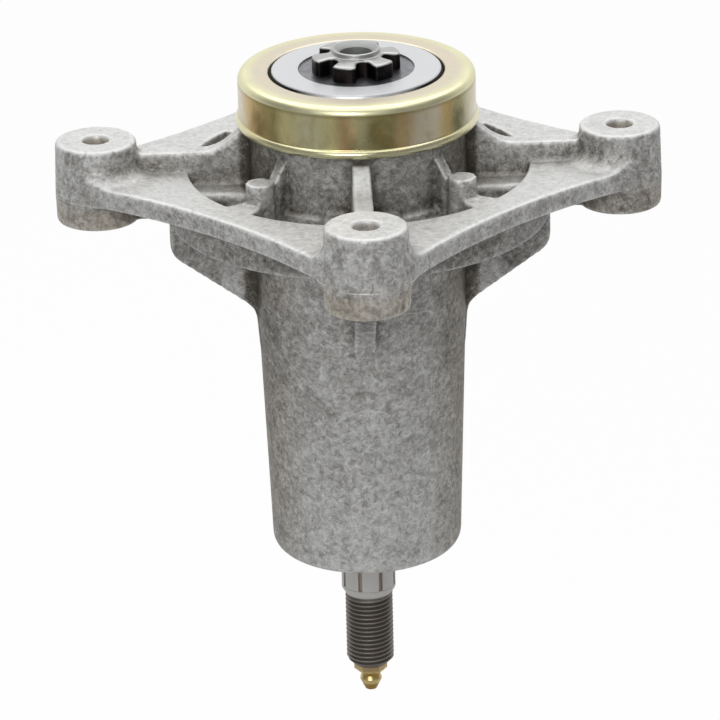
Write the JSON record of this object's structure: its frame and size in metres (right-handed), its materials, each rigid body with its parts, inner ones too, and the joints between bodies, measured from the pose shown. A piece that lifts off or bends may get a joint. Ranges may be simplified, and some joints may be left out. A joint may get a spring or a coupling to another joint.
{
  "type": "mower deck spindle assembly",
  "caption": "Cast mower deck spindle: square frame with four bolt ears, ribbed barrel, star-drive blade seat under a pressed dust cap, splined and threaded pulley end with a grease fitting.",
  "frame": {"origin": "centre of the four-hole bolt circle, on the shaft's axis, in the plane of the ear faces that seat on the deck", "axes": "+Z along the shaft toward the blade end, as the picture shows it; +X and +Y through the centres of two neighbouring ears"},
  "size_m": [0.177, 0.177, 0.2054],
  "materials": {
    "cast_aluminium": "as cast, matte",
    "shaft_steel": "machined faces over dark forged skin",
    "gold_plating": "yellow chromate over zinc",
    "tube_steel": "drawn tube",
    "bearing_steel": "ground",
    "ball_steel": "polished",
    "cage_steel": "pressed sheet",
    "seal_rubber": "moulded",
    "fitting_brass": "plated",
    "spring_steel": "drawn wire"
  },
  "bodies": {
    "housing": {"housing": "cast_aluminium", "upper_outer_ring": "bearing_steel", "lower_outer_ring": "bearing_steel", "upper_seal": "seal_rubber", "lower_seal": "seal_rubber"},
    "spindle": {"spindle_shaft": "shaft_steel", "dust_cap": "gold_plating", "spacer_sleeve": "tube_steel", "upper_inner_ring": "bearing_steel", "lower_inner_ring": "bearing_steel", "grease_fitting": "fitting_brass", "check_spring": "spring_steel"},
    "upper_ball_set": {"upper_balls": "ball_steel", "upper_cage": "cage_steel"},
    "lower_ball_set": {"lower_balls": "ball_steel", "lower_cage": "cage_steel"},
    "check_ball": {"check_ball": "ball_steel"}
  },
  "joints": [
    {"name": "spindle_spin", "type": "hinge", "parent": "housing", "child": "spindle", "pos_m": [0, 0, 0], "axis": [0, 0, 1], "continuous": true},
    {"name": "upper_balls_spin", "type": "hinge", "parent": "housing", "child": "upper_ball_set", "pos_m": [0, 0, -0.001], "axis": [0, 0, 1], "continuous": true},
    {"name": "lower_balls_spin", "type": "hinge", "parent": "housing", "child": "lower_ball_set", "pos_m": [0, 0, -0.122], "axis": [0, 0, 1], "continuous": true},
    {"name": "check_ball_slide", "type": "slide", "parent": "spindle", "child": "check_ball", "axis": [0, 0, 1], "range_m": [0, 0.0009], "stiffness_N_per_m": 100, "springref_m": -0.0005, "deforming": ["check_spring"]}
  ],
  "couplings": [
    {"joint": "upper_balls_spin", "follows": "spindle_spin", "ratio": 0.3818},
    {"joint": "lower_balls_spin", "follows": "spindle_spin", "ratio": 0.3818}
  ]
}
